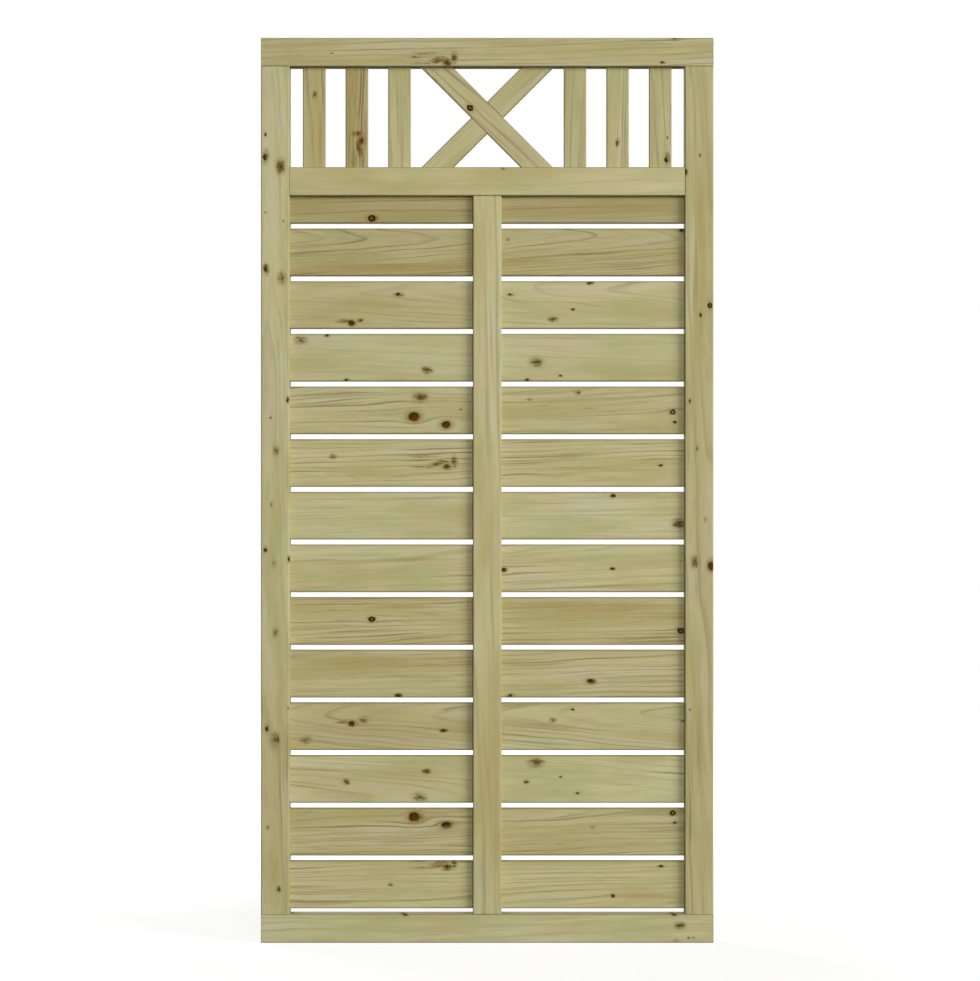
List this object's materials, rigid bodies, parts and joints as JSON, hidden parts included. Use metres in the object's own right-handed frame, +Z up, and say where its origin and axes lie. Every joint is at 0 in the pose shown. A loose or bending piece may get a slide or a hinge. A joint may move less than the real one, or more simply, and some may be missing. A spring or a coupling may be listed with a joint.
{
  "type": "privacy fence panel",
  "caption": "Timber privacy fence panel: grooved frame with spaced horizontal boards between upright battens, under an open lattice of balusters beside a diagonal cross.",
  "frame": {"origin": "bottom centre of the panel, in the middle of its depth", "axes": "+Z up, +X to the right seen from the front, front face towards -Y"},
  "size_m": [0.9, 0.045, 1.8],
  "materials": {
    "frame_timber": "planed",
    "board_timber": "planed",
    "lattice_timber": "planed",
    "zinc_fasteners": "galvanised"
  },
  "bodies": {
    "root": {"batten_staples": "zinc_fasteners", "board_01": "board_timber", "board_02": "board_timber", "board_03": "board_timber", "board_04": "board_timber", "board_05": "board_timber", "board_06": "board_timber", "board_07": "board_timber", "board_08": "board_timber", "board_09": "board_timber", "board_10": "board_timber", "board_11": "board_timber", "board_12": "board_timber", "board_13": "board_timber", "board_14": "board_timber", "bottom_corner_screws": "zinc_fasteners", "bottom_rail": "frame_timber", "falling_brace": "lattice_timber", "front_batten": "frame_timber", "lattice_staples": "zinc_fasteners", "left_baluster_1": "lattice_timber", "left_baluster_2": "lattice_timber", "left_baluster_3": "lattice_timber", "left_stile": "frame_timber", "mid_rail": "frame_timber", "mid_rail_staples": "zinc_fasteners", "rear_batten": "frame_timber", "right_baluster_1": "lattice_timber", "right_baluster_2": "lattice_timber", "right_baluster_3": "lattice_timber", "right_stile": "frame_timber", "rising_brace": "lattice_timber", "top_corner_screws": "zinc_fasteners", "top_rail": "frame_timber"}
  },
  "joints": []
}
